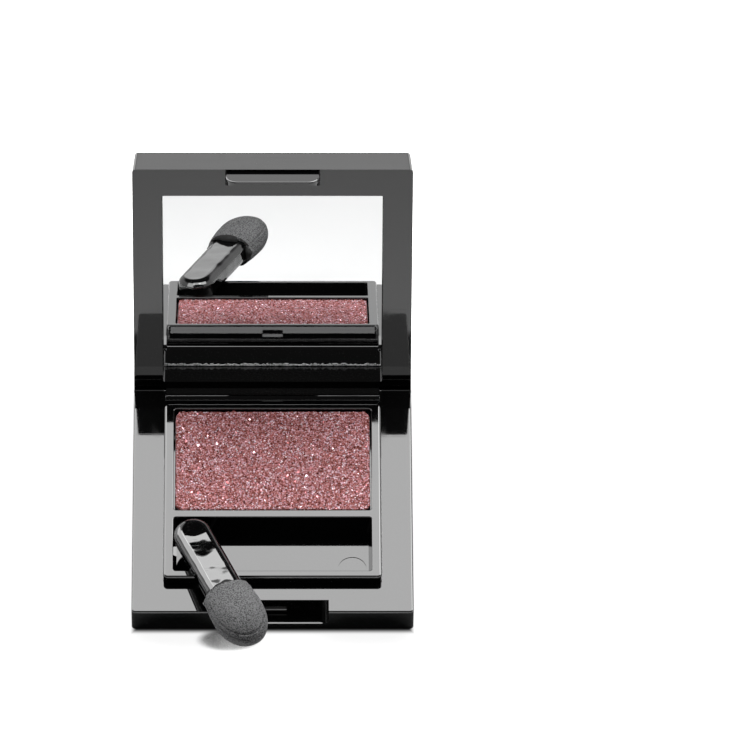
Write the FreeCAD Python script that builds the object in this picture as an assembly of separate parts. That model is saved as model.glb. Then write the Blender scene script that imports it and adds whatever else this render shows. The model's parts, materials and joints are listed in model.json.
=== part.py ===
"""Single eyeshadow palette: a square hinged compact, stored open, with its sponge applicator.

Millimetres, +Z up. The origin is the middle of the base's underside, the latch side faces -Y
and the hinge lies along X at the back. The lid is modelled shut and then swung open.
"""
import FreeCAD, Part
import math
import os

from FreeCAD import Vector

# Case
case_width = 53.0
case_depth = 52.5
base_height = 5.6
base_floor = 1.6
lid_height = 6.9
lid_draft = 0.43
lid_lean = 20.8
seam_gap = 0.1
corner_round = 0.7
edge_round = 0.35
shelf_edge_round = 0.15

# Hinge
hinge_back = 1.95
table_gap = 0.25
ear_width = 6.0
ear_slope_reach = 5.8
knuckle_wall = 0.55
knuckle_end_gap = 0.15
swing_gap = 0.2
stop_gap = 0.08
stop_drop = 0.2
stop_height = 0.7
stop_root = 0.6
pin_radius = 1.0
pin_running_gap = 0.05
pin_sink = 0.8
pin_engage = 4.0
pin_end_gap = 0.4
pin_chamfer = 0.2

# Latch
notch_side_gap = 1.6
notch_round = 1.5
catch_width = 5.2
catch_drop = 3.0
catch_radius = 0.4
catch_gap = 0.15
tongue_width = 17.9
tongue_setback = 0.55
tongue_thickness = 1.7
tongue_length = 3.7
tongue_tip_gap = 0.2
tongue_round = 2.4
tongue_nose_round = 0.35
tongue_lead_in = 1.0
tongue_lead_length = 1.7

# Tray insert
tray_side_gap = 0.45
tray_front_gap = 0.6
tray_rear_gap = 1.85
tray_proud = 2.15
tray_floor = 1.2
tray_fit_gap = 0.1
tray_round = 0.8
tray_edge_round = 0.4
pocket_round = 0.6
pocket_edge_round = 0.15
well_draft = 0.6
side_rim = 1.8
front_rim = 1.5
rear_rim = 1.2
well_gap = 1.1
bar_width = 1.6
tab_width = 3.9
tab_height = 0.75
tab_deck_gap = 0.1
tab_lid_gap = 0.25
tab_round = 0.15
mark_radius = 2.7
mark_depth = 0.12
mark_from_side = 3.7
mark_from_front = 3.7

# Pan and pressed powder
pan_gap = 0.25
pan_below_rim = 0.8
pan_wall = 0.2
pan_round = 1.6
glue_thickness = 0.2
glue_radius = 6.0
cake_proud = 0.4
cake_edge_round = 0.3
cake_rim_inset = 0.05

# Mirror
rail_side = 5.5
rail_front = 5.9
rail_rear = 4.3
recess_round = 0.5
lid_wall = 0.8
mirror_thickness = 0.7
mirror_gap = 0.15
tape_thickness = 0.15
tape_margin = 4.0

# Applicator
handle_length = 20.5
handle_width = 7.1
handle_thickness = 4.5
handle_round = 1.6
handle_end_gap = 2.1
handle_side_gap = 0.45
handle_tuck = 1.2
paddle_width = 4.6
paddle_thickness = 1.6
paddle_tip_cover = 4.3
sponge_length = 13.9
sponge_width = 10.0
sponge_mouth_width = 9.2
sponge_belly_share = 0.44
sponge_thickness = 7.4
applicator_heading = 22.4
applicator_tilt = 12.2
applicator_rest_gap = 0.05

# Places that follow from the sizes above
front = -case_depth / 2
rear = case_depth / 2
half_width = case_width / 2
lean = math.radians(lid_lean)
rim = base_height + seam_gap
lid_top = rim + lid_height
barrel_radius = hinge_back
knuckle_radius = pin_radius + pin_running_gap + knuckle_wall
hinge_y = rear - hinge_back
hinge_z = (table_gap + hinge_back * math.cos(lean) + rim * math.sin(lean)) / (1 + math.sin(lean))
slot_width = case_width - 2 * ear_width
slot_reach = hinge_back + knuckle_radius + swing_gap
knuckle_width = slot_width - 2 * knuckle_end_gap
slot_face = rear - slot_reach
notch_half = tongue_width / 2 + notch_side_gap
notch_reach = tongue_setback + tongue_thickness + catch_gap + catch_radius
notch_floor = rim - tongue_length - tongue_tip_gap
recess_half = half_width - rail_side
recess_front = front + rail_front
recess_rear = rear - rail_rear
recess_top = lid_top - lid_wall
mirror_z = recess_top - tape_thickness - mirror_thickness
tray_half = recess_half - tray_side_gap
tray_y = recess_front + tray_front_gap
tray_rear = recess_rear - tray_rear_gap
tray_top = base_height + tray_proud
pocket_half = tray_half - side_rim
pocket_floor = base_floor + tray_floor
well_y = tray_y + front_rim
well_reach = sponge_width + 2 * well_gap
bar_y = well_y + well_reach
pan_y = bar_y + bar_width
pan_rear = tray_rear - rear_rim
pan_floor = pocket_floor + glue_thickness
pan_top = tray_top - pan_below_rim
heading = math.radians(applicator_heading)
tilt = math.radians(applicator_tilt)
handle_end = handle_width / 2
handle_in_well = (well_reach - handle_end_gap - handle_end) / (math.cos(heading) * math.cos(tilt))
handle_behind_rim = handle_end + handle_in_well
handle_drift = handle_in_well * math.sin(heading) * math.cos(tilt)
applicator_x = handle_drift + handle_end + handle_side_gap - pocket_half
handle_past_rim = handle_length - handle_behind_rim
OVER = 1.0


def block(x, y, z):
    """A box between two values on each axis."""
    size = Vector(x[1] - x[0], y[1] - y[0], z[1] - z[0])
    return Part.makeBox(size.x, size.y, size.z, Vector(x[0], y[0], z[0]))


def runs_along(edge, axis):
    """True for a straight edge parallel to a direction."""
    if len(edge.Vertexes) != 2:
        return False
    run = edge.Vertexes[1].Point - edge.Vertexes[0].Point
    return run.Length > 0 and run.cross(axis).Length < 1e-6 * run.Length


def rounded_block(x, y, z, radius):
    """A box with its four upright edges rounded."""
    plain = block(x, y, z)
    uprights = [edge for edge in plain.Edges if runs_along(edge, Vector(0, 0, 1))]
    return plain.makeFillet(radius, uprights)


def edges_at_height(shape, z):
    """The edges that lie wholly in one level plane."""
    return [e for e in shape.Edges if abs(e.BoundBox.ZMin - z) < 1e-4 and abs(e.BoundBox.ZMax - z) < 1e-4]


def across(points_and_arcs, half_length):
    """A solid from a closed outline in the YZ plane, run along X to both sides of the middle."""
    face = Part.Face(Part.Wire(points_and_arcs))
    face.translate(Vector(-half_length, 0, 0))
    return face.extrude(Vector(2 * half_length, 0, 0))


def yz(y, z):
    return Vector(0, y, z)


def on_barrel(angle):
    """A point on the hinge barrel, with the angle measured from straight back, upwards."""
    return yz(hinge_y + barrel_radius * math.cos(angle), hinge_z + barrel_radius * math.sin(angle))


def x_cylinder(radius, x0, x1, y, z):
    return Part.makeCylinder(radius, x1 - x0, Vector(x0, y, z), Vector(1, 0, 0))


def planar_solid(low, high):
    """A six-sided solid between two four-cornered outlines."""
    sides = [[low[i], low[(i + 1) % 4], high[(i + 1) % 4], high[i]] for i in range(4)]
    faces = [Part.Face(Part.makePolygon(loop + loop[:1])) for loop in [low[::-1], high] + sides]
    return Part.Solid(Part.Shell(faces))


def base_outside():
    """Flat block whose back ends round the hinge line and slopes away below it.

    Between the ears the deck runs on level to the knuckle's slot.
    """
    slope_start = yz(rear - ear_slope_reach, base_height)
    reach = slope_start - yz(hinge_y, hinge_z)
    top_angle = math.atan2(reach.z, reach.y) - math.acos(barrel_radius / reach.Length)
    top = on_barrel(top_angle)
    low = on_barrel(-lean)
    foot = yz(low.y - low.z * math.tan(lean), 0)
    corners = [top, slope_start, yz(front, base_height), yz(front, 0), foot, low]
    outline = [Part.LineSegment(a, b).toShape() for a, b in zip(corners, corners[1:])]
    outline.append(Part.Arc(low, on_barrel((top_angle - lean) / 2), top).toShape())
    solid = across(outline, half_width)
    front_corners = [e for e in solid.Edges if runs_along(e, Vector(0, 0, 1))]
    solid = solid.makeFillet(corner_round, front_corners)
    deck_edges = [e for e in edges_at_height(solid, base_height) if e.BoundBox.YMin < slope_start.y - OVER]
    solid = solid.makeFillet(edge_round, deck_edges)
    level = (slope_start.y - OVER, slot_face)
    shelf = block((-slot_width / 2, slot_width / 2), level, (base_height - OVER, base_height))
    back_edge = [e for e in edges_at_height(shelf, base_height) if e.BoundBox.YMin > slot_face - 1e-4]
    return solid.fuse(shelf.makeFillet(shelf_edge_round, back_edge))


def latch_notch():
    """The opening in the base's front for the lid's tongue, round at its lower corners."""
    reach = (front - OVER, front + notch_reach)
    cutter = block((-notch_half, notch_half), reach, (notch_floor, base_height + OVER))
    along_y = [e for e in cutter.Edges if runs_along(e, Vector(0, 1, 0))]
    return cutter.makeFillet(notch_round, [e for e in along_y if e.BoundBox.ZMax < notch_floor + 1e-4])


def base_shell():
    seat = rounded_block(
        (-tray_half - tray_fit_gap, tray_half + tray_fit_gap),
        (tray_y - tray_fit_gap, tray_rear + tray_fit_gap),
        (base_floor, base_height + OVER),
        tray_round + tray_fit_gap,
    )
    slot = block(
        (-slot_width / 2, slot_width / 2),
        (slot_face, rear + OVER),
        (-OVER, base_height + OVER),
    )
    pin_hole = x_cylinder(pin_radius, -half_width - OVER, half_width + OVER, hinge_y, hinge_z)
    catch_z = base_height - catch_drop
    catch = x_cylinder(catch_radius, -catch_width / 2, catch_width / 2, front + notch_reach, catch_z)
    return base_outside().cut([seat, slot, latch_notch(), pin_hole]).fuse(catch).removeSplitter()


def applicator_well():
    """The cutter for the well, whose end walls lean outwards."""
    slant = well_draft / (tray_top - pocket_floor)

    def outline(z):
        half = pocket_half - slant * (tray_top - z)
        return [Vector(x, y, z) for x, y in [(-half, well_y), (half, well_y), (half, bar_y), (-half, bar_y)]]

    cutter = planar_solid(outline(pocket_floor), outline(tray_top + OVER))
    uprights = [e for e in cutter.Edges if e.BoundBox.ZLength > OVER]
    return cutter.makeFillet(pocket_round, uprights)


def rear_tab():
    """The tray's small tab at the back, which lies over the base's deck."""
    low = base_height + tab_deck_gap
    reach = (tray_rear - rear_rim / 2, recess_rear - tab_lid_gap)
    tab = block((-tab_width / 2, tab_width / 2), reach, (low, low + tab_height))
    along_x = [e for e in tab.Edges if runs_along(e, Vector(1, 0, 0))]
    outer_top = [e for e in along_x if e.BoundBox.YMin > tray_rear and e.BoundBox.ZMin > low + 1e-4]
    return tab.makeFillet(tab_round, outer_top)


def tray_insert():
    """The raised moulding that holds the pan, with a well in front for the applicator."""
    outer = (-tray_half, tray_half)
    body = rounded_block(outer, (tray_y, tray_rear), (base_floor, tray_top), tray_round)
    body = body.makeFillet(tray_edge_round, edges_at_height(body, tray_top))
    pan_pocket = rounded_block(
        (-pocket_half, pocket_half), (pan_y, pan_rear), (pocket_floor, tray_top + OVER), pocket_round
    )
    mark_at = Vector(pocket_half - mark_from_side, well_y + mark_from_front, pocket_floor - mark_depth)
    mark = Part.makeCylinder(mark_radius, mark_depth + OVER, mark_at)
    tray = body.fuse(rear_tab()).cut([applicator_well(), pan_pocket, mark]).removeSplitter()
    rims = [e for e in edges_at_height(tray, tray_top) if abs(e.CenterOfMass.x) < pocket_half + 1e-4]
    inner = [e for e in rims if well_y - 1e-4 < e.CenterOfMass.y < pan_rear + 1e-4]
    return tray.makeFillet(pocket_edge_round, inner)


def pan_block(inset, low, high):
    """The pan's outline drawn in by an inset, between two heights."""
    x = pocket_half - pan_gap - inset
    y0 = pan_y + pan_gap + inset
    y1 = pan_rear - pan_gap - inset
    return rounded_block((-x, x), (y0, y1), (low, high), pan_round - inset)


def shadow_pan():
    inside = pan_block(pan_wall, pan_floor + pan_wall, pan_top + OVER)
    return pan_block(0, pan_floor, pan_top).cut(inside)


def eyeshadow_cake():
    """Powder pressed into the pan and out over its thin rim."""
    top = pan_top + cake_proud
    crown = pan_block(cake_rim_inset, pan_top, top)
    crown = crown.makeFillet(cake_edge_round, edges_at_height(crown, top))
    return pan_block(pan_wall, pan_floor + pan_wall, pan_top).fuse(crown).removeSplitter()


def pan_glue():
    middle = Vector(0, (pan_y + pan_rear) / 2, pocket_floor)
    return Part.makeCylinder(glue_radius, glue_thickness, middle)


def hinge_pin(side):
    """One short pin, pressed into an ear and running in the end of the lid's knuckle."""
    length = ear_width - pin_sink + pin_engage
    outer = half_width - pin_sink
    pin = x_cylinder(pin_radius, outer - length, outer, hinge_y, hinge_z)
    rims = [e for e in pin.Edges if e.BoundBox.XLength < 1e-4]
    pin = pin.makeChamfer(pin_chamfer, rims)
    return pin if side > 0 else pin.mirror(Vector(0, 0, 0), Vector(1, 0, 0))


def opened(shape):
    """Swings a lid piece from shut to its open stop."""
    shape.rotate(yz(hinge_y, hinge_z), Vector(1, 0, 0), -(90 + lid_lean))
    return shape


def lid_outside():
    """The lid's block: drafted sides, and a back that lies level with the table when open."""
    back = rear - lid_height * math.tan(lean)
    wide = half_width - lid_draft
    low = [Vector(x, y, rim) for x, y in
           [(-half_width, front), (half_width, front), (half_width, rear), (-half_width, rear)]]
    high = [Vector(x, y, lid_top) for x, y in
            [(-wide, front + lid_draft), (wide, front + lid_draft), (wide, back), (-wide, back)]]
    solid = planar_solid(low, high)
    uprights = [e for e in solid.Edges if e.BoundBox.ZLength > lid_height / 2]
    solid = solid.makeFillet(corner_round, uprights)
    return solid.makeFillet(edge_round, edges_at_height(solid, lid_top))


def knuckle():
    """The bar between the base's ears, with a heel along it that stops the lid when open."""
    half = knuckle_width / 2
    barrel = x_cylinder(knuckle_radius, -half, half, hinge_y, hinge_z)
    web = block((-half, half), (hinge_y - knuckle_radius, rear), (hinge_z, rim))
    heel_top = hinge_z - stop_drop
    heel = block(
        (-half, half),
        (slot_face + stop_gap, hinge_y - knuckle_radius + stop_root),
        (heel_top - stop_height, heel_top),
    )
    heel.rotate(yz(hinge_y, hinge_z), Vector(1, 0, 0), 90 + lid_lean)
    bore_radius = pin_radius + pin_running_gap
    bore_end = half_width - ear_width - pin_engage - pin_end_gap
    bores = [x_cylinder(bore_radius, bore_end, half + OVER, hinge_y, hinge_z)]
    bores.append(x_cylinder(bore_radius, -half - OVER, -bore_end, hinge_y, hinge_z))
    return barrel.fuse([web, heel]).cut(bores)


def latch_tongue():
    """The tongue under the lid's front rim, round at its corners and thinned at the back of its tip."""
    half = tongue_width / 2
    face = front + tongue_setback
    back = face + tongue_thickness
    tip = rim - tongue_length
    tongue = block((-half, half), (face, back), (tip, rim + OVER))
    corners = [e for e in tongue.Edges if runs_along(e, Vector(0, 1, 0)) and e.BoundBox.ZMax < tip + 1e-4]
    tongue = tongue.makeFillet(tongue_round, corners)
    at_tip = [e for e in tongue.Edges if e.BoundBox.ZMax < tip + 1e-4]
    tongue = tongue.makeFillet(tongue_nose_round, [e for e in at_tip if abs(e.CenterOfMass.y - face) < 1e-4])
    thin = yz(back - tongue_lead_in, tip)
    slope = yz(tongue_lead_in, tongue_lead_length)
    ends = [thin - slope, thin + slope + slope]
    corners = ends + [yz(ends[1].y, ends[0].z)]
    outline = [Part.LineSegment(a, b).toShape() for a, b in zip(corners, corners[1:] + corners[:1])]
    return tongue.cut(across(outline, half + OVER))


def lid_recess(inset, low, high):
    """The space inside the lid's rails, drawn in by an inset, between two heights."""
    x = recess_half - inset
    return rounded_block((-x, x), (recess_front + inset, recess_rear - inset), (low, high), recess_round)


def lid_shell():
    shell = lid_outside().cut(lid_recess(0, rim - OVER, recess_top))
    return opened(shell.fuse([latch_tongue(), knuckle()]).removeSplitter())


def mirror_glass():
    return opened(lid_recess(mirror_gap, mirror_z, mirror_z + mirror_thickness))


def mirror_tape():
    return opened(lid_recess(mirror_gap + tape_margin, recess_top - tape_thickness, recess_top))


def placed_applicator(shape):
    """Lays an applicator piece on the tray's front rim.

    In its own frame Y runs along the handle towards the sponge, Z is up from the handle's
    underside, and Y is 0 above the rim's inner edge.
    """
    along = Vector(math.sin(heading) * math.cos(tilt), -math.cos(heading) * math.cos(tilt), math.sin(tilt))
    sideways = Vector(-math.cos(heading), -math.sin(heading), 0)
    up = sideways.cross(along)
    low_side = (handle_width / 2 - handle_round) * math.tan(heading) * math.tan(tilt)
    at = Vector(applicator_x, well_y, tray_top + applicator_rest_gap + low_side)
    turn = FreeCAD.Matrix(
        sideways.x, along.x, up.x, at.x,
        sideways.y, along.y, up.y, at.y,
        sideways.z, along.z, up.z, at.z,
        0, 0, 0, 1,
    )
    shape.Placement = FreeCAD.Placement(turn).multiply(shape.Placement)
    return shape


def handle_blank():
    """Round-ended moulded bar, narrowing to a flat paddle that carries the sponge."""
    half = handle_width / 2
    neck = handle_past_rim + handle_tuck
    bar = block((-half, half), (-handle_in_well, neck), (0, handle_thickness))
    end = Part.makeCylinder(handle_end, handle_thickness, Vector(0, -handle_in_well, 0))
    body = bar.fuse(end).removeSplitter()
    rims = edges_at_height(body, 0) + edges_at_height(body, handle_thickness)
    body = body.makeFillet(handle_round, [e for e in rims if e.BoundBox.YMin < neck - 1e-4])
    middle = handle_thickness / 2
    paddle = block(
        (-paddle_width / 2, paddle_width / 2),
        (neck - OVER, handle_past_rim + sponge_length - paddle_tip_cover),
        (middle - paddle_thickness / 2, middle + paddle_thickness / 2),
    )
    return body.fuse(paddle).removeSplitter()


def applicator_handle():
    return placed_applicator(handle_blank())


def applicator_sponge():
    """Flattened egg of foam, open at the handle's end and closed round the tip."""
    mouth = handle_past_rim
    belly = mouth + sponge_length * sponge_belly_share
    tip = mouth + sponge_length
    mouth_half = sponge_mouth_width / 2
    belly_half = sponge_width / 2
    shoulder = Vector((mouth_half + 3 * belly_half) / 4, (mouth + belly) / 2, 0)
    front_turn = math.sqrt(0.5)
    cheek = Vector(belly_half * front_turn, belly + (tip - belly) * front_turn, 0)
    side = Part.BSplineCurve()
    lip = Vector(mouth_half, mouth, 0)
    outline = [lip, shoulder, Vector(belly_half, belly, 0), cheek, Vector(0, tip, 0)]
    side.interpolate(outline, InitialTangent=Vector(0.35, 1, 0), FinalTangent=Vector(-1, 0, 0))
    mouth_edge = Part.LineSegment(Vector(0, mouth, 0), lip).toShape()
    axis_edge = Part.LineSegment(outline[-1], Vector(0, mouth, 0)).toShape()
    half_section = Part.Face(Part.Wire([mouth_edge, side.toShape(), axis_edge]))
    egg = half_section.revolve(Vector(0, 0, 0), Vector(0, 1, 0), 360)
    flatten = FreeCAD.Matrix()
    flatten.scale(Vector(1, 1, sponge_thickness / sponge_width))
    flatten.move(Vector(0, 0, handle_thickness / 2))
    return placed_applicator(egg.transformGeometry(flatten).cut(handle_blank()))


PIECES = {
    "base_shell": base_shell,
    "tray_insert": tray_insert,
    "shadow_pan": shadow_pan,
    "eyeshadow_cake": eyeshadow_cake,
    "pan_glue": pan_glue,
    "hinge_pin_left": lambda: hinge_pin(-1),
    "hinge_pin_right": lambda: hinge_pin(1),
    "lid_shell": lid_shell,
    "mirror_glass": mirror_glass,
    "mirror_tape": mirror_tape,
    "applicator_handle": applicator_handle,
    "applicator_sponge": applicator_sponge,
}

os.makedirs("parts", exist_ok=True)
for name, make in PIECES.items():
    piece = make()
    print(name, "solids", len(piece.Solids), "valid", piece.isValid(), "volume", round(piece.Volume, 2))
    piece.exportStep(os.path.join("parts", name + ".step"))
print("hinge line at y", round(hinge_y, 3), "z", round(hinge_z, 3))
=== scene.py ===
import json
import math
import random

import bmesh
import bpy
from mathutils import Matrix, Vector


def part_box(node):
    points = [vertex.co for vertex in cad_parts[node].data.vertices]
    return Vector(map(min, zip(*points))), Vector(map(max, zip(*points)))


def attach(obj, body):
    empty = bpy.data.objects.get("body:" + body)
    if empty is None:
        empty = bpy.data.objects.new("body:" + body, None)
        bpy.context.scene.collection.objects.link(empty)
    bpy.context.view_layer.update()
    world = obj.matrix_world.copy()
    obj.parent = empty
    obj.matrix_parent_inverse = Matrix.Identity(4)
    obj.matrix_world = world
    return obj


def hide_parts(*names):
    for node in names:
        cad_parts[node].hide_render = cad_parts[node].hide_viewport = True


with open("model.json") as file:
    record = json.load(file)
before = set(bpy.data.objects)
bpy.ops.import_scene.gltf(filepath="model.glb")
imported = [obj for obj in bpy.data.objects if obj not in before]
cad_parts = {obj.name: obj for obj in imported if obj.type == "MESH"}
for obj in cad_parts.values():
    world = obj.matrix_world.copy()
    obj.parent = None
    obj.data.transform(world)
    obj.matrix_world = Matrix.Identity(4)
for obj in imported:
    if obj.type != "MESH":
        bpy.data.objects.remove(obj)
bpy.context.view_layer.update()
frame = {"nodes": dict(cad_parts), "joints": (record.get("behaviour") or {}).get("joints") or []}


# Base: a flat black block, injection moulded in hard gloss plastic and polished in the mould.
# It stands on the table, seats the tray, and ends at the back in two ears that hold the hinge pins.
MM = 0.001
nodes = frame["nodes"]


def add(tree, kind, sockets=None, **settings):
    """Adds a node with its settings, and gives its sockets their values or links."""
    made = tree.nodes.new(kind)
    for name, value in settings.items():
        setattr(made, name, value)
    for key, value in (sockets or {}).items():
        if isinstance(value, bpy.types.NodeSocket):
            tree.links.new(value, made.inputs[key])
        else:
            made.inputs[key].default_value = value
    return made


def math_of(tree, operation, first, second=0.0):
    """One Math node; returns its value."""
    return add(tree, "ShaderNodeMath", {0: first, 1: second}, operation=operation).outputs[0]


def ranged(tree, value, low, high, to_low=0.0, to_high=1.0):
    """A value eased from one range to another."""
    sockets = {"Value": value, "From Min": low, "From Max": high, "To Min": to_low, "To Max": to_high}
    return add(tree, "ShaderNodeMapRange", sockets, interpolation_type="SMOOTHSTEP").outputs["Result"]


def mixed(tree, factor, first, second):
    """A colour between two others."""
    sockets = {"Factor": factor, 6: first, 7: second}
    return add(tree, "ShaderNodeMix", sockets, data_type="RGBA").outputs[2]


def material_of(name):
    """A new material: its tree, its shader and where the piece's own coordinates come out."""
    material = bpy.data.materials.new(name)
    material.use_nodes = True
    tree = material.node_tree
    place = add(tree, "ShaderNodeTexCoord").outputs["Object"]
    return material, tree, tree.nodes["Principled BSDF"], place


def set_on(shader, **values):
    """Sets values that are the same all over on the shader's own sockets."""
    for name, value in values.items():
        shader.inputs[name.replace("_", " ")].default_value = value


def feed(shader, **sockets):
    """Links values that change over the surface to the shader's sockets."""
    for name, value in sockets.items():
        shader.id_data.links.new(value, shader.inputs[name.replace("_", " ")])


def noise_of(tree, place, scale, detail):
    """A noise between 0 and 1; returns its value."""
    sockets = {"Vector": place, "Scale": scale, "Detail": detail}
    return add(tree, "ShaderNodeTexNoise", sockets).outputs["Fac"]


def stretched(tree, place, scale, turn=0.0):
    """Coordinates stretched along the axes, and turned about the upright one."""
    sockets = {"Vector": place, "Scale": scale, "Rotation": (0.0, 0.0, turn)}
    return add(tree, "ShaderNodeMapping", sockets).outputs[0]


def grey(level):
    """A plain grey, from black at 0 to white at 1."""
    return (level, level, level, 1.0)


def dress(node_name, material):
    """Gives a piece of the frame its finish."""
    nodes[node_name].material_slots[0].material = material


def group_of(name, inputs, outputs):
    """An empty shader node group with named float sockets and a coordinate input."""
    group = bpy.data.node_groups.new(name, "ShaderNodeTree")
    group.interface.new_socket("Place", in_out="INPUT", socket_type="NodeSocketVector")
    for label in inputs:
        group.interface.new_socket(label, in_out="INPUT", socket_type="NodeSocketFloat")
    for label in outputs:
        group.interface.new_socket(label, in_out="OUTPUT", socket_type="NodeSocketFloat")
    return group, group.nodes.new("NodeGroupInput").outputs, group.nodes.new("NodeGroupOutput").inputs


def moulded_gloss():
    """Polished moulding: a slow waviness, wiped smears, hairline scratches and a few dust specks."""
    group, given, put = group_of(
        "moulded_gloss",
        ["Roughness", "Smear", "Scratch", "Wave Size"],
        ["Roughness", "Height", "Dust"],
    )
    place = given["Place"]
    wave = noise_of(group, place, math_of(group, "DIVIDE", 1.0, given["Wave Size"]), detail=1.0)
    smear = noise_of(group, stretched(group, place, (1.0, 0.35, 1.0)), scale=170.0, detail=4.0)
    roughness = math_of(group, "MULTIPLY_ADD", ranged(group, smear, 0.48, 0.75), given["Smear"])
    group.links.new(given["Roughness"], roughness.node.inputs[2])
    group.links.new(roughness, put["Roughness"])
    hair_place = stretched(group, place, (60.0, 5200.0, 5200.0), turn=0.42)
    hair = noise_of(group, hair_place, scale=1.0, detail=0.0)
    scratch = math_of(group, "MULTIPLY", ranged(group, hair, 0.70, 0.78), given["Scratch"])
    group.links.new(math_of(group, "SUBTRACT", wave, scratch), put["Height"])
    speck = add(group, "ShaderNodeTexVoronoi", {"Vector": place, "Scale": 620.0}).outputs
    near = ranged(group, speck["Distance"], 0.05, 0.03)
    rare = math_of(group, "GREATER_THAN", speck["Color"], 0.72)
    group.links.new(math_of(group, "MULTIPLY", near, rare), put["Dust"])
    return group


GLOSS = moulded_gloss()


def gloss_plastic(name, ior, roughness, smear, scratch, wave_size, wave_height):
    """Black gloss plastic with the moulded finish over it."""
    material, tree, shader, place = material_of(name)
    finish = tree.nodes.new("ShaderNodeGroup")
    finish.node_tree = GLOSS
    tree.links.new(place, finish.inputs["Place"])
    values = {"Roughness": roughness, "Smear": smear, "Scratch": scratch, "Wave Size": wave_size}
    for label, value in values.items():
        finish.inputs[label].default_value = value
    black = (0.0015, 0.0015, 0.0016, 1.0)
    colour = mixed(tree, finish.outputs["Dust"], black, grey(0.05))
    bump = add(tree, "ShaderNodeBump", {"Height": finish.outputs["Height"], "Distance": wave_height})
    feed(shader, Base_Color=colour, Roughness=finish.outputs["Roughness"], Normal=bump.outputs[0])
    set_on(shader, IOR=ior)
    return material


case_plastic = gloss_plastic(
    "case_plastic", ior=1.75, roughness=0.03, smear=0.05, scratch=0.03,
    wave_size=14 * MM, wave_height=0.008 * MM,
)
dress("base_shell", case_plastic)


# Tray: a second black moulding with a pocket for the pan and a well for the applicator.
# It is pressed into the base, and polished like it with a slightly finer waviness.
tray_plastic = gloss_plastic(
    "tray_plastic", ior=1.75, roughness=0.03, smear=0.04, scratch=0.02,
    wave_size=9 * MM, wave_height=0.005 * MM,
)
dress("tray_insert", tray_plastic)


# Pan: a shallow dish pressed from thin tinplate, with rolling marks along its length.
# It drops into the tray's pocket and is held by a dot of hot-melt glue that nothing shows of.
pan_metal, tree, shader, place = material_of("pan_metal")
rolling = noise_of(tree, stretched(tree, place, (90.0, 4000.0, 4000.0)), scale=1.0, detail=3.0)
tin = mixed(tree, rolling, (0.030, 0.028, 0.028, 1.0), (0.070, 0.066, 0.066, 1.0))
feed(shader, Base_Color=tin, Roughness=ranged(tree, rolling, 0.2, 0.8, 0.22, 0.42))
set_on(shader, Metallic=1.0)
dress("shadow_pan", pan_metal)

glue, tree, shader, place = material_of("glue")
blotch = noise_of(tree, place, scale=700.0, detail=3.0)
feed(shader, Base_Color=mixed(tree, blotch, (0.62, 0.58, 0.48, 1.0), (0.80, 0.78, 0.72, 1.0)))
set_on(shader, Roughness=0.45)
dress("pan_glue", glue)


# Eyeshadow: fine rose-brown powder pressed into the pan under a cloth, so that its top is grainy.
# The surface is rebuilt finer than the frame's solid, with the grain as real relief.


def linked(name, data):
    """A new object at the origin."""
    thing = bpy.data.objects.new(name, data)
    bpy.context.scene.collection.objects.link(thing)
    return thing


def mesh_of(shape, name):
    """Turns a finished shape into a mesh."""
    mesh = bpy.data.meshes.new(name)
    shape.to_mesh(mesh)
    shape.free()
    return mesh


def rounded_slab(low, high, corner, crown, step):
    """A block with round upright corners and an eased top rim, gridded finely on top."""
    middle = (low + high) / 2
    half = (high - low) / 2
    columns = round(2 * half.x / step)
    rows = round(2 * half.y / step)
    shape = bmesh.new()
    top = []
    for j in range(rows + 1):
        y = half.y * (2 * j / rows - 1)
        into_corner = min(corner, max(0.0, abs(y) - (half.y - corner)))
        reach = half.x - corner + math.sqrt(corner**2 - into_corner**2)
        row = []
        for i in range(columns + 1):
            x = reach * (2 * i / columns - 1)
            inset = min(reach - abs(x), half.y - abs(y))
            drop = crown - math.sqrt(crown**2 - (crown - min(max(inset, 0.0), crown)) ** 2)
            row.append(shape.verts.new((middle.x + x, middle.y + y, high.z - drop)))
        top.append(row)
    for j in range(rows):
        for i in range(columns):
            shape.faces.new((top[j][i], top[j][i + 1], top[j + 1][i + 1], top[j + 1][i]))
    rim = top[0] + [row[-1] for row in top[1:]] + top[-1][-2::-1] + [row[0] for row in top[-2:0:-1]]
    foot = [shape.verts.new((v.co.x, v.co.y, low.z)) for v in rim]
    count = len(rim)
    for k in range(count):
        after = (k + 1) % count
        shape.faces.new((rim[after], rim[k], foot[k], foot[after]))
    shape.faces.new(foot[::-1])
    mesh = mesh_of(shape, "pressed_powder")
    mesh.shade_smooth()
    return mesh


def node_tree_of(name, inputs):
    """An empty Geometry Nodes tree with a mesh going in and out, and named inputs."""
    tree = bpy.data.node_groups.new(name, "GeometryNodeTree")
    tree.interface.new_socket("Geometry", in_out="INPUT", socket_type="NodeSocketGeometry")
    for label, kind in inputs.items():
        tree.interface.new_socket(label, in_out="INPUT", socket_type="NodeSocket" + kind)
    tree.interface.new_socket("Geometry", in_out="OUTPUT", socket_type="NodeSocketGeometry")
    given = tree.nodes.new("NodeGroupInput").outputs
    return tree, given, tree.nodes.new("NodeGroupOutput").inputs["Geometry"]


def put_out(tree, geometry, material, put):
    """Ends a tree: gives what it made its finish, and puts it out."""
    finish = add(tree, "GeometryNodeSetMaterial", {"Geometry": geometry, "Material": material})
    tree.links.new(finish.outputs[0], put)


def mesh_from(piece, tree, values):
    """Runs a Geometry Nodes tree on a piece and returns what it makes as a plain mesh."""
    modifier = piece.modifiers.new(tree.name, "NODES")
    modifier.node_group = tree
    for item in tree.interface.items_tree:
        if item.in_out == "INPUT" and item.name in values:
            modifier[item.identifier] = values[item.name]
    evaluated = piece.evaluated_get(bpy.context.evaluated_depsgraph_get())
    mesh = bpy.data.meshes.new_from_object(evaluated)
    piece.modifiers.remove(modifier)
    return mesh


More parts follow.
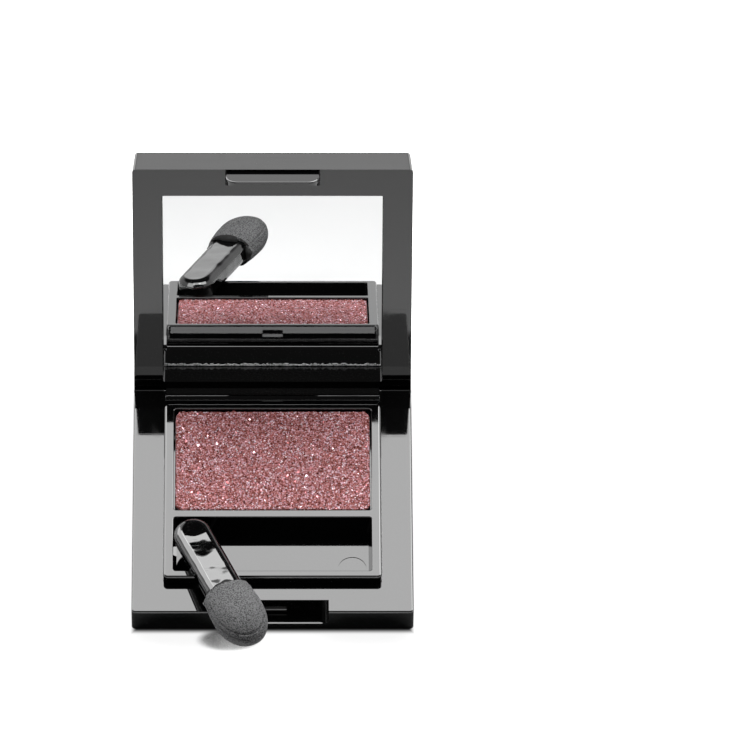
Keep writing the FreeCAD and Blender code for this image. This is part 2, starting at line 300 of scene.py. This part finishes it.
def pressed_grain():
    """Pushes the powder's top in and out by fine noise, and leaves its sides and foot alone."""
    tree, given, put = node_tree_of(
        "pressed_grain",
        {"Grain Size": "Float", "Grain Height": "Float", "Rim Height": "Float", "Material": "Material"},
    )
    scale = math_of(tree, "DIVIDE", 1.0, given["Grain Size"])
    grain = add(tree, "ShaderNodeTexNoise", {"Scale": scale, "Detail": 2.0}).outputs["Fac"]
    above_mean = math_of(tree, "SUBTRACT", grain, 0.62)
    depth = math_of(tree, "MULTIPLY", above_mean, given["Grain Height"])
    spot = add(tree, "GeometryNodeInputPosition").outputs[0]
    height = add(tree, "ShaderNodeSeparateXYZ", {0: spot}).outputs["Z"]
    on_top = math_of(tree, "GREATER_THAN", height, given["Rim Height"])
    lift = add(tree, "ShaderNodeCombineXYZ", {"Z": math_of(tree, "MULTIPLY", depth, on_top)}).outputs[0]
    moved = add(tree, "GeometryNodeSetPosition", {"Geometry": given["Geometry"], "Offset": lift})
    put_out(tree, moved.outputs[0], given["Material"], put)
    return tree


def ramp_of(tree, value, tints):
    """A colour picked from a row of tints by a value between 0 and 1."""
    ramp = add(tree, "ShaderNodeValToRGB", {"Fac": value})
    stops = ramp.color_ramp.elements
    for position, _ in tints[2:]:
        stops.new(position)
    for stop, (position, tint) in zip(stops, tints):
        stop.position = position
        stop.color = (*tint, 1.0)
    return ramp.outputs[0]


POWDER_TINTS = [
    (0.00, (0.055, 0.012, 0.010)),
    (0.30, (0.222, 0.064, 0.054)),
    (0.60, (0.435, 0.153, 0.146)),
    (0.82, (0.615, 0.280, 0.303)),
    (0.92, (0.630, 0.435, 0.535)),
    (1.00, (0.950, 0.850, 0.900)),
]


def pressed_powder():
    """Rose-brown powder: each tiny flat grain has its own tint and gloss."""
    material, tree, shader, place = material_of("pressed_powder")
    grain = add(tree, "ShaderNodeTexVoronoi", {"Vector": place, "Scale": 4600.0})
    pick = add(tree, "ShaderNodeSeparateColor", {0: grain.outputs["Color"]})
    tint = ramp_of(tree, pick.outputs["Red"], POWDER_TINTS)
    cloud = ranged(tree, noise_of(tree, place, scale=260.0, detail=2.0), 0.3, 0.7)
    clouded = add(
        tree,
        "ShaderNodeMix",
        {"Factor": 1.0, 6: tint, 7: mixed(tree, cloud, grey(0.86), grey(1.0))},
        data_type="RGBA",
        blend_type="MULTIPLY",
    )
    gloss = ranged(tree, pick.outputs["Green"], 0.0, 1.0, 0.55, 0.95)
    relief = math_of(tree, "MULTIPLY", grain.outputs["Distance"], -1.0)
    bump = add(tree, "ShaderNodeBump", {"Height": relief, "Distance": 0.05 * MM, "Strength": 0.6})
    feed(shader, Base_Color=clouded.outputs[2], Roughness=gloss, Normal=bump.outputs[0])
    set_on(shader, IOR=1.25)
    return material


cake_low, cake_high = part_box("eyeshadow_cake")
slab = rounded_slab(cake_low, cake_high, corner=1.5 * MM, crown=0.3 * MM, step=0.16 * MM)
blank = linked("powder_blank", slab)
powder_mesh = mesh_from(
    blank,
    pressed_grain(),
    {
        "Grain Size": 0.30 * MM,
        "Grain Height": 0.07 * MM,
        "Rim Height": cake_high.z - 0.2 * MM,
        "Material": pressed_powder(),
    },
)
bpy.data.objects.remove(blank)
powder = linked("pressed_powder_top", powder_mesh)
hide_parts("eyeshadow_cake")
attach(powder, "base")


# Grains and glitter: loose grains of powder stand out of the pressed top, with hexagonal flakes of
# coated film pressed in between them. They lie at all tilts, so only some catch the light.


def strewn(name, make_bit):
    """Strews small bits over upward faces, each with its own tilt, size and tint."""
    tree, given, put = node_tree_of(
        name,
        {
            "Density": "Float", "Spacing": "Float", "Radius": "Float", "Tilt": "Float", "Seed": "Int",
            "Material": "Material",
        },
    )
    facing = add(tree, "GeometryNodeInputNormal").outputs[0]
    rise = add(tree, "ShaderNodeSeparateXYZ", {0: facing}).outputs["Z"]
    upward = math_of(tree, "GREATER_THAN", rise, 0.5)
    points = add(
        tree,
        "GeometryNodeDistributePointsOnFaces",
        {
            "Mesh": given["Geometry"], "Selection": upward, "Seed": given["Seed"],
            "Distance Min": given["Spacing"], "Density Max": given["Density"],
        },
        distribute_method="POISSON",
    )

    def chance(low, high, seed):
        """A random value for each bit."""
        return add(tree, "FunctionNodeRandomValue", {2: low, 3: high, "Seed": seed}).outputs[1]

    lean_low = math_of(tree, "MULTIPLY", given["Tilt"], -1.0)
    lean_x, lean_y = (chance(lean_low, given["Tilt"], seed) for seed in (11, 12))
    spin = chance(0.0, math.tau, 31)
    turned = add(tree, "ShaderNodeCombineXYZ", {"X": lean_x, "Y": lean_y, "Z": spin}).outputs[0]
    grown = math_of(tree, "ADD", math_of(tree, "POWER", chance(0.0, 1.0, 47), 4.0), 0.55)
    placed = add(
        tree,
        "GeometryNodeInstanceOnPoints",
        {
            "Points": points.outputs["Points"], "Instance": make_bit(tree, given["Radius"]),
            "Rotation": turned, "Scale": grown,
        },
    )
    marked = add(
        tree,
        "GeometryNodeStoreNamedAttribute",
        {"Geometry": placed.outputs[0], "Name": "bit_tint", "Value": chance(0.0, 1.0, 73)},
        data_type="FLOAT",
        domain="INSTANCE",
    )
    real = add(tree, "GeometryNodeRealizeInstances", {"Geometry": marked.outputs[0]})
    put_out(tree, real.outputs[0], given["Material"], put)
    return tree


def grain_ball(tree, radius):
    """A lump of powder."""
    return add(tree, "GeometryNodeMeshIcoSphere", {"Radius": radius, "Subdivisions": 1}).outputs["Mesh"]


def hexagon_flake(tree, radius):
    """A flake cut from thin film."""
    thickness = math_of(tree, "MULTIPLY", radius, 0.12)
    sockets = {"Vertices": 6, "Radius": radius, "Depth": thickness}
    return add(tree, "GeometryNodeMeshCylinder", sockets).outputs["Mesh"]


def bit_finish(name, tints, roughness, **uniform):
    """A finish whose colour follows each bit's own tint."""
    material, tree, shader, _ = material_of(name)
    tint = add(tree, "ShaderNodeAttribute", attribute_name="bit_tint").outputs["Fac"]
    gloss = ranged(tree, tint, 0.0, 1.0, *roughness)
    feed(shader, Base_Color=ramp_of(tree, tint, tints), Roughness=gloss)
    set_on(shader, **uniform)
    return material


FILM_TINTS = [(0.0, (0.40, 0.12, 0.12)), (0.55, (0.58, 0.26, 0.28)), (1.0, (0.92, 0.80, 0.86))]
grain_look = bit_finish("powder_grains", POWDER_TINTS, (0.9, 0.6), IOR=1.25)
film_look = bit_finish("glitter_film", FILM_TINTS, (0.30, 0.16), Metallic=1.0)
# Each row: name, shape, finish, most bits per square metre, spacing, radius, largest tilt and seed.
BITS = [
    ("powder_grains", grain_ball, grain_look, 17.0e6, 0.20 * MM, 0.13 * MM, 1.0, 3),
    ("glitter_flakes", hexagon_flake, film_look, 16.0e6, 0.20 * MM, 0.085 * MM, 1.1, 5),
    ("large_flakes", hexagon_flake, film_look, 0.10e6, 1.0 * MM, 0.27 * MM, 0.14, 8),
]
for name, make_bit, look, density, spacing, radius, tilt, seed in BITS:
    values = {
        "Density": density, "Spacing": spacing, "Radius": radius, "Tilt": tilt, "Seed": seed,
        "Material": look,
    }
    bits = linked(name, mesh_from(powder, strewn(name, make_bit), values))
    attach(bits, "base")


# Hinge pins: two short lengths of drawn steel wire, cut and chamfered, pressed into the base's ears.
# Their outer ends lie a little below the ears' faces and show in the holes at both sides.
pin_steel, tree, shader, place = material_of("pin_steel")
rings = noise_of(tree, stretched(tree, place, (6000.0, 300.0, 300.0)), scale=1.0, detail=2.0)
steel = mixed(tree, rings, (0.22, 0.22, 0.23, 1.0), (0.45, 0.45, 0.46, 1.0))
feed(shader, Base_Color=steel, Roughness=ranged(tree, rings, 0.2, 0.8, 0.2, 0.4))
set_on(shader, Metallic=1.0)
for pin in ("hinge_pin_left", "hinge_pin_right"):
    dress(pin, pin_steel)


# Lid: the same black gloss moulding as the base, with drafted sides and a square recess for the mirror.
# Its latch tongue hangs at the front rim and its knuckle turns between the base's ears.
dress("lid_shell", case_plastic)


# Mirror: a plate of silvered float glass, scored and snapped to size and stuck into the lid with tape.
# The snapped edge at the hinge side was never ground, so it shows as a ragged bright line.
mirror_silver, tree, shader, place = material_of("mirror_silver")
haze = noise_of(tree, place, scale=90.0, detail=3.0)
silver = mixed(tree, haze, (0.815, 0.82, 0.82, 1.0), (0.835, 0.84, 0.84, 1.0))
feed(shader, Base_Color=silver, Roughness=ranged(tree, haze, 0.45, 0.8, 0.0, 0.012))
set_on(shader, Metallic=1.0)
dress("mirror_glass", mirror_silver)

tape, tree, shader, place = material_of("foam_tape")
cells = add(tree, "ShaderNodeTexVoronoi", {"Vector": place, "Scale": 2500.0}).outputs["Distance"]
feed(shader, Base_Color=mixed(tree, cells, (0.66, 0.66, 0.64, 1.0), (0.84, 0.84, 0.82, 1.0)))
set_on(shader, Roughness=0.8)
dress("mirror_tape", tape)

mirror_face = max(
    (p for p in nodes["mirror_glass"].data.polygons if p.normal.y < -0.5),
    key=lambda p: p.area,
)
outward = mirror_face.normal.copy()
across = Vector((1.0, 0.0, 0.0))
up_lid = outward.cross(across)
glass_points = [v.co for v in nodes["mirror_glass"].data.vertices]
glass_bottom = min(p.dot(up_lid) for p in glass_points)
glass_front = max(p.dot(outward) for p in glass_points)
glass_half = max(p.x for p in glass_points)


def snapped_edge(length_half, depth, lift, pitch, seed):
    """A thin ragged strip of chipped glass along the plate's lower edge."""
    chance = random.Random(seed)
    shape = bmesh.new()
    strips = []
    x = -length_half
    while x < length_half:
        reach = depth * (0.35 + 0.65 * chance.random())
        proud = lift * (0.4 + 0.6 * chance.random())
        strips.append((x, reach, proud))
        x += pitch * (0.4 + 1.2 * chance.random())
    strips.append((length_half, depth * 0.5, lift * 0.5))
    start = outward * glass_front + up_lid * glass_bottom
    columns = []
    for x, reach, proud in strips:
        corner = start + across * x
        columns.append([
            shape.verts.new(corner),
            shape.verts.new(corner + outward * proud),
            shape.verts.new(corner + up_lid * reach * 0.6 + outward * proud),
            shape.verts.new(corner + up_lid * reach),
        ])
    for left, right in zip(columns, columns[1:]):
        for k in range(4):
            after = (k + 1) % 4
            shape.faces.new((left[k], left[after], right[after], right[k]))
    shape.faces.new(columns[0])
    shape.faces.new(columns[-1][::-1])
    bmesh.ops.recalc_face_normals(shape, faces=shape.faces)
    return mesh_of(shape, "snapped_edge")


chipped_glass, tree, shader, place = material_of("chipped_glass")
flaw = add(tree, "ShaderNodeTexVoronoi", {"Vector": place, "Scale": 3000.0}).outputs["Distance"]
frost = mixed(tree, flaw, grey(0.35), (0.92, 0.93, 0.93, 1.0))
feed(shader, Base_Color=frost, Roughness=ranged(tree, flaw, 0.0, 0.8, 0.2, 0.5))
set_on(shader, Metallic=1.0)
chips = snapped_edge(glass_half, depth=0.7 * MM, lift=0.05 * MM, pitch=0.3 * MM, seed=9)
cut_edge = linked("mirror_cut_edge", chips)
cut_edge.data.materials.append(chipped_glass)
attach(cut_edge, "lid")


# Applicator handle: a short round-ended bar, moulded solid in black gloss plastic.
# Being thick, it sank a little as it cooled, so its flat top shows wavy reflections.
handle_plastic = gloss_plastic(
    "handle_plastic", ior=1.75, roughness=0.03, smear=0.03, scratch=0.002,
    wave_size=5.5 * MM, wave_height=0.25 * MM,
)
dress("applicator_handle", handle_plastic)


# Sponge tip: layers of fine grey foam welded round the rim and pulled over the handle's paddle.
# It is open at the handle's end, where the cut is ragged and the weld stands out at both sides, and the
# welds show as two grooves round the tip.
lift = next(j for j in frame["joints"] if j["name"] == "applicator_lift")
along = Vector(lift["axis"]).normalized()
sideways = Vector((along.y, -along.x, 0.0)).normalized()
above = sideways.cross(along)
foam_points = [v.co for v in nodes["applicator_sponge"].data.vertices]


def span(points, direction):
    """How far points reach along a direction, from the least to the most."""
    reach = [p.dot(direction) for p in points]
    return min(reach), max(reach)


mouth_at, tip_at = span(foam_points, along)
left_at, right_at = span(foam_points, sideways)
low_at, high_at = span(foam_points, above)
mouth_middle = along * mouth_at + sideways * (left_at + right_at) / 2 + above * (low_at + high_at) / 2
foam_length = tip_at - mouth_at
foam_half_width = (right_at - left_at) / 2
foam_half_height = (high_at - low_at) / 2
bar_points = [v.co for v in nodes["applicator_handle"].data.vertices]
BAR_ROOM = 0.06 * MM
bar_half_width, bar_half_height = (
    (high - low) / 2 + BAR_ROOM for low, high in (span(bar_points, sideways), span(bar_points, above))
)
BELLY = 0.44
MOUTH = 0.92
FOAM_POWER = 2.15
BORE_POWER = 5.0
# Each row: waves round the mouth, their share of the raggedness and the angle at which they start.
RAGGED_WAVES = [(3, 1.0, 0.6), (7, 0.7, 0.0), (13, 0.5, 2.0)]


def egg(share):
    """The egg's half width at a share of its length, from the mouth to the tip."""
    if share < BELLY:
        return MOUTH + (1 - MOUTH) * math.sin(math.pi / 2 * share / BELLY)
    return math.sqrt(max(0.0, 1 - ((share - BELLY) / (1 - BELLY)) ** 2))


def eased(value, low, high):
    """A smooth step from 0 to 1 between two values."""
    step = min(1.0, max(0.0, (value - low) / (high - low)))
    return step * step * (3 - 2 * step)


def oval(angle, half_width, half_height, power):
    """A point of a squared-off oval."""
    c, s = math.cos(angle), math.sin(angle)
    return (
        half_width * math.copysign(abs(c) ** (2 / power), c),
        half_height * math.copysign(abs(s) ** (2 / power), s),
    )


def foam_tip(
    rings, spokes, bore_depth, bore_width, bore_height,
    grooves, groove_depth, groove_width, ragged, flange, flange_width,
):
    """The closed foam egg with its weld grooves, ragged mouth and the bore that the handle fills."""
    shape = bmesh.new()

    def point(share, flat):
        place = mouth_middle + along * (share * foam_length) + sideways * flat[0] + above * flat[1]
        return shape.verts.new(place)

    def ring_of(share, half_width, half_height, power, uneven, flare=0.0):
        ring = []
        for k in range(spokes):
            angle = math.tau * k / spokes
            flat = oval(angle, half_width, half_height, power)
            pinch = groove_depth * sum(math.exp(-(((flat[1] - g) / groove_width) ** 2)) for g in grooves)
            keep = max(0.0, 1 - pinch * eased(share, 0.05, 0.3) / max(math.hypot(*flat), groove_depth))
            out = flare * math.exp(-((flat[1] / flange_width) ** 2))
            flat = (flat[0] * keep + math.copysign(out, flat[0]), flat[1] * keep)
            wave = sum(size * math.sin(count * angle + start) for count, size, start in RAGGED_WAVES)
            ring.append(point(share + uneven * wave / foam_length, flat))
        return ring

    bore_end = bore_depth / foam_length
    loops = [
        ring_of(bore_end, bore_width, bore_height, BORE_POWER, 0.0),
        ring_of(0.0, bore_width, bore_height, BORE_POWER, ragged),
    ]
    for k in range(rings):
        share = math.sin(math.pi / 2 * k / rings)
        width = egg(share)
        fade = 1 - eased(share, 0.0, 0.12)
        half_width, half_height = foam_half_width * width, foam_half_height * width
        loops.append(ring_of(share, half_width, half_height, FOAM_POWER, ragged * fade, flange * fade))
    for inner, outer in zip(loops, loops[1:]):
        for k in range(spokes):
            after = (k + 1) % spokes
            shape.faces.new((inner[k], inner[after], outer[after], outer[k]))
    tip = point(1.0, (0.0, 0.0))
    back = point(bore_end, (0.0, 0.0))
    for k in range(spokes):
        after = (k + 1) % spokes
        shape.faces.new((loops[-1][k], loops[-1][after], tip))
        shape.faces.new((loops[0][after], loops[0][k], back))
    bmesh.ops.recalc_face_normals(shape, faces=shape.faces)
    mesh = mesh_of(shape, "foam_tip")
    mesh.shade_smooth()
    return mesh


def foam_cells():
    """Dents the foam with small open cells and gives it a soft overall unevenness."""
    tree, given, put = node_tree_of(
        "foam_cells",
        {"Cell Size": "Float", "Cell Depth": "Float", "Lump Height": "Float", "Material": "Material"},
    )
    cell_scale = math_of(tree, "DIVIDE", 1.0, given["Cell Size"])
    cell = add(tree, "ShaderNodeTexVoronoi", {"Scale": cell_scale})
    pit = ranged(tree, cell.outputs["Distance"], 0.55, 0.1)
    lump = add(tree, "ShaderNodeTexNoise", {"Scale": 420.0, "Detail": 2.0}).outputs["Fac"]
    above_mean = math_of(tree, "SUBTRACT", lump, 0.55)
    swell = math_of(tree, "MULTIPLY", above_mean, given["Lump Height"])
    depth = math_of(tree, "SUBTRACT", swell, math_of(tree, "MULTIPLY", pit, given["Cell Depth"]))
    facing = add(tree, "GeometryNodeInputNormal").outputs[0]
    shift = add(tree, "ShaderNodeVectorMath", {0: facing, "Scale": depth}, operation="SCALE").outputs[0]
    moved = add(tree, "GeometryNodeSetPosition", {"Geometry": given["Geometry"], "Offset": shift})
    put_out(tree, moved.outputs[0], given["Material"], put)
    return tree


def grey_foam():
    """Fine open-cell foam: painted shade darkens its pores, and the walls between them are paler."""
    material, tree, shader, place = material_of("grey_foam")
    cell = add(tree, "ShaderNodeTexVoronoi", {"Vector": place, "Scale": 4400.0})
    fleck = noise_of(tree, place, scale=3200.0, detail=3.0)
    # Painted shade: dark specks stand for the shade inside the foam's pores.
    pore = math_of(tree, "MULTIPLY", cell.outputs["Distance"], fleck)
    shade = ranged(tree, pore, 0.08, 0.32)
    foam = mixed(tree, shade, (0.020, 0.020, 0.021, 1.0), (0.143, 0.143, 0.145, 1.0))
    # Painted shade: the foam within a fraction of a millimetre of the mouth, its cut end included, is
    # coloured near black for the shade that falls there.
    dot = add(tree, "ShaderNodeVectorMath", {0: place, 1: along}, operation="DOT_PRODUCT")
    clear_of_mouth_shade = ranged(tree, dot.outputs["Value"], mouth_at + 0.15 * MM, mouth_at + 0.4 * MM)
    mouth_painted_shade = grey(0.018)
    bump = add(tree, "ShaderNodeBump", {"Height": shade, "Distance": 0.05 * MM, "Strength": 0.7})
    feed(shader, Base_Color=mixed(tree, clear_of_mouth_shade, mouth_painted_shade, foam), Normal=bump.outputs[0])
    set_on(shader, Roughness=0.95, IOR=1.3)
    return material


foam_blank = linked(
    "foam_blank",
    foam_tip(
        rings=130, spokes=300,
        bore_depth=1.1 * MM, bore_width=bar_half_width, bore_height=bar_half_height,
        grooves=(0.7 * MM, 1.6 * MM), groove_depth=0.3 * MM, groove_width=0.14 * MM,
        ragged=0.26 * MM, flange=0.35 * MM, flange_width=0.4 * MM,
    ),
)
foam_mesh = mesh_from(
    foam_blank,
    foam_cells(),
    {"Cell Size": 0.34 * MM, "Cell Depth": 0.06 * MM, "Lump Height": 0.12 * MM, "Material": grey_foam()},
)
bpy.data.objects.remove(foam_blank)
sponge = linked("foam_sponge_tip", foam_mesh)
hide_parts("applicator_sponge")
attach(sponge, "applicator")


# Stage: a white floor with painted shade close to the case, where its own colour is dark grey, a white
# surround that goes dark overhead, and five soft lamps. Seen directly, the floor whitens, except close
# to the case and in a painted shadow spot fixed beside where the sponge hangs at rest, so that the real
# shadows there show, darkened by the painted grey. Far off it is white to reflections too.


def background_share(tree, kinds, seen, unseen):
    """One strength for the kinds of rays that show the background, and another for all the rest."""
    path = add(tree, "ShaderNodeLightPath").outputs
    shown = path[kinds[0]]
    for kind in kinds[1:]:
        shown = math_of(tree, "MAXIMUM", shown, path[kind])
    return ranged(tree, shown, 0.0, 1.0, unseen, seen)


FLOOR_REACH = 4.0
FLOOR_CORNERS = [(-1, -1), (1, -1), (1, 1), (-1, 1)]
floor_mesh = bpy.data.meshes.new("floor")
floor_mesh.from_pydata(
    [(x * FLOOR_REACH, y * FLOOR_REACH, 0.0) for x, y in FLOOR_CORNERS], [], [(0, 1, 2, 3)]
)
floor = linked("floor", floor_mesh)
white_floor_with_painted_shade, tree, shader, place = material_of("white_floor_with_painted_shade")
spot = add(tree, "ShaderNodeSeparateXYZ", {0: place}).outputs
beside, before = (math_of(tree, "ABSOLUTE", spot[axis]) for axis in "XY")
from_middle = math_of(tree, "MAXIMUM", beside, before)
# Painted shade: the floor's colour is dark grey close to the case and eases to white further out, so
# that its shadows and its reflection in the case's front are dark.
PAINTED_SHADE_TO, WHITE_FROM = 29 * MM, 37 * MM
painted_shade_floor = mixed(tree, ranged(tree, from_middle, PAINTED_SHADE_TO, WHITE_FROM), grey(0.15), grey(0.91))

# Close to the case's edge the floor is not whitened, so its painted dark grey, in the case's real shade,
# shows as a tight shadow.
CASE_SHADOW_FROM, CASE_SHADOW_TO = 26.3 * MM, 27.6 * MM
SIDE_SHADOW_LESS = 0.7 * MM
case_edge = math_of(tree, "MAXIMUM", math_of(tree, "ADD", beside, SIDE_SHADOW_LESS), before)
beyond_case = ranged(tree, case_edge, CASE_SHADOW_FROM, CASE_SHADOW_TO)

# Painted shadow: an oval at a fixed place on the floor, beside where the sponge rests, is kept from
# whitening, so the painted grey floor shows there as the sponge's shadow; where ambient occlusion finds
# nothing above it, the oval whitens again.
SPONGE_SHADOW_SIZE = (6.8 * MM, 3.0 * MM, 1.0)
TOWARDS_CASE = Vector((-2.7 * MM, 5.4 * MM, 0.0))
TOWARDS_FRONT = {"X": 0.31, "Y": -0.72, "Z": 0.62}
shadow_spot = mouth_middle + along * foam_length * 0.6 + TOWARDS_CASE
shadow_spot.z = 0.0
shadow_place = add(
    tree,
    "ShaderNodeMapping",
    {"Vector": place, "Location": shadow_spot, "Scale": SPONGE_SHADOW_SIZE},
    vector_type="TEXTURE",
).outputs[0]
from_spot = add(tree, "ShaderNodeVectorMath", {0: shadow_place}, operation="LENGTH").outputs["Value"]
lean = add(tree, "ShaderNodeCombineXYZ", TOWARDS_FRONT).outputs[0]
cover = add(tree, "ShaderNodeAmbientOcclusion", {"Distance": 18 * MM, "Normal": lean}, samples=16)
uncovered = ranged(tree, cover.outputs["AO"], 0.84, 0.95)
beyond_sponge = math_of(tree, "MAXIMUM", uncovered, ranged(tree, from_spot, 0.55, 1.0))

NEAR_WHITE = 0.92
beyond_shadow = math_of(tree, "MULTIPLY", beyond_case, beyond_sponge)
to_camera = background_share(tree, ["Is Camera Ray"], NEAR_WHITE, 0.0)
near_white = math_of(tree, "MULTIPLY", beyond_shadow, to_camera)
FAR_FROM, FAR_TO = 0.3, 0.55
SHOWN_TO = ["Is Camera Ray", "Is Glossy Ray", "Is Transmission Ray"]
far_away = ranged(tree, from_middle, FAR_FROM, FAR_TO)
far_white = math_of(tree, "MULTIPLY", far_away, background_share(tree, SHOWN_TO, 1.0, 0.0))
whitened = math_of(tree, "MAXIMUM", near_white, far_white)
feed(shader, Base_Color=painted_shade_floor, Emission_Strength=whitened)
set_on(shader, Roughness=0.9, Specular_IOR_Level=0.0, Emission_Color=grey(1.0))
floor_mesh.materials.append(white_floor_with_painted_shade)

world = bpy.data.worlds.new("white_surround")
bpy.context.scene.world = world
world.use_nodes = True
tree = world.node_tree
sky = tree.nodes["Background"]
direction = add(tree, "ShaderNodeTexCoord").outputs["Generated"]
height = add(tree, "ShaderNodeSeparateXYZ", {0: direction}).outputs["Z"]
WHITE_TO, DARK_FROM = 0.62, 0.78
OVERHEAD, FILL_LIGHT = 0.04, 0.12
surround = ranged(tree, height, WHITE_TO, DARK_FROM, 1.0, OVERHEAD)
strength = math_of(tree, "MULTIPLY", surround, background_share(tree, SHOWN_TO, 1.0, FILL_LIGHT))
feed(sky, Strength=strength)
set_on(sky, Color=grey(1.0))


def softbox(name, azimuth, elevation, distance, width, height, power):
    """A soft lamp that faces the palette; azimuth 0 is the viewer's side, at -Y."""
    a, e = math.radians(azimuth), math.radians(elevation)
    lamp = bpy.data.lights.new(name, "AREA")
    lamp.shape = "RECTANGLE"
    lamp.size, lamp.size_y, lamp.energy = width, height, power
    thing = linked(name, lamp)
    toward = Vector((math.sin(a) * math.cos(e), -math.cos(a) * math.cos(e), math.sin(e)))
    thing.location = toward * distance
    thing.rotation_mode = "QUATERNION"
    thing.rotation_quaternion = toward.to_track_quat("Z", "Y")


softbox("back_panel", azimuth=180, elevation=50, distance=0.9, width=0.6, height=0.56, power=5.5)
softbox("back_strip", azimuth=180, elevation=13, distance=1.0, width=1.2, height=0.22, power=0.3)
softbox("left_box", azimuth=-136, elevation=30, distance=0.85, width=0.6, height=0.8, power=6.6)
softbox("right_box", azimuth=138, elevation=45, distance=0.85, width=0.6, height=0.5, power=6.4)
softbox("front_box", azimuth=0, elevation=36, distance=1.2, width=0.6, height=0.35, power=0.9)


# Camera: a long lens, from the front and well above the table.
# The palette stands left of the picture's middle and a little below it.
CAMERA_ELEVATION = math.radians(55.6)
CAMERA_DISTANCE = 1.55
PICTURE_SIDE = 741
SPAN_IN_PIXELS, SPAN_AT_DECK = 277, 0.0525
PIXELS_PER_METRE = SPAN_IN_PIXELS / SPAN_AT_DECK
RIGHT_OF_DECK, ABOVE_DECK = 0.01846, 0.02396
camera_data = bpy.data.cameras.new("camera")
camera_data.lens = PIXELS_PER_METRE * CAMERA_DISTANCE / PICTURE_SIDE * camera_data.sensor_width
camera_data.clip_start, camera_data.clip_end = 0.05, 20.0
camera = linked("camera", camera_data)
back = Vector((0.0, -math.cos(CAMERA_ELEVATION), math.sin(CAMERA_ELEVATION)))
picture_up = Vector((0.0, math.sin(CAMERA_ELEVATION), math.cos(CAMERA_ELEVATION)))
deck_middle = Vector((0.0, 0.0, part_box("base_shell")[1].z))
camera.location = deck_middle + back * CAMERA_DISTANCE
aim = deck_middle + across * RIGHT_OF_DECK + picture_up * ABOVE_DECK
forward = (aim - camera.location).normalized()
level = (across - forward * across.dot(forward)).normalized()
camera.rotation_mode = "QUATERNION"
turned_to = Matrix((level, level.cross(forward), -forward)).transposed()
camera.rotation_quaternion = turned_to.to_quaternion()
bpy.context.scene.camera = camera
bpy.context.scene.view_settings.view_transform = "Standard"
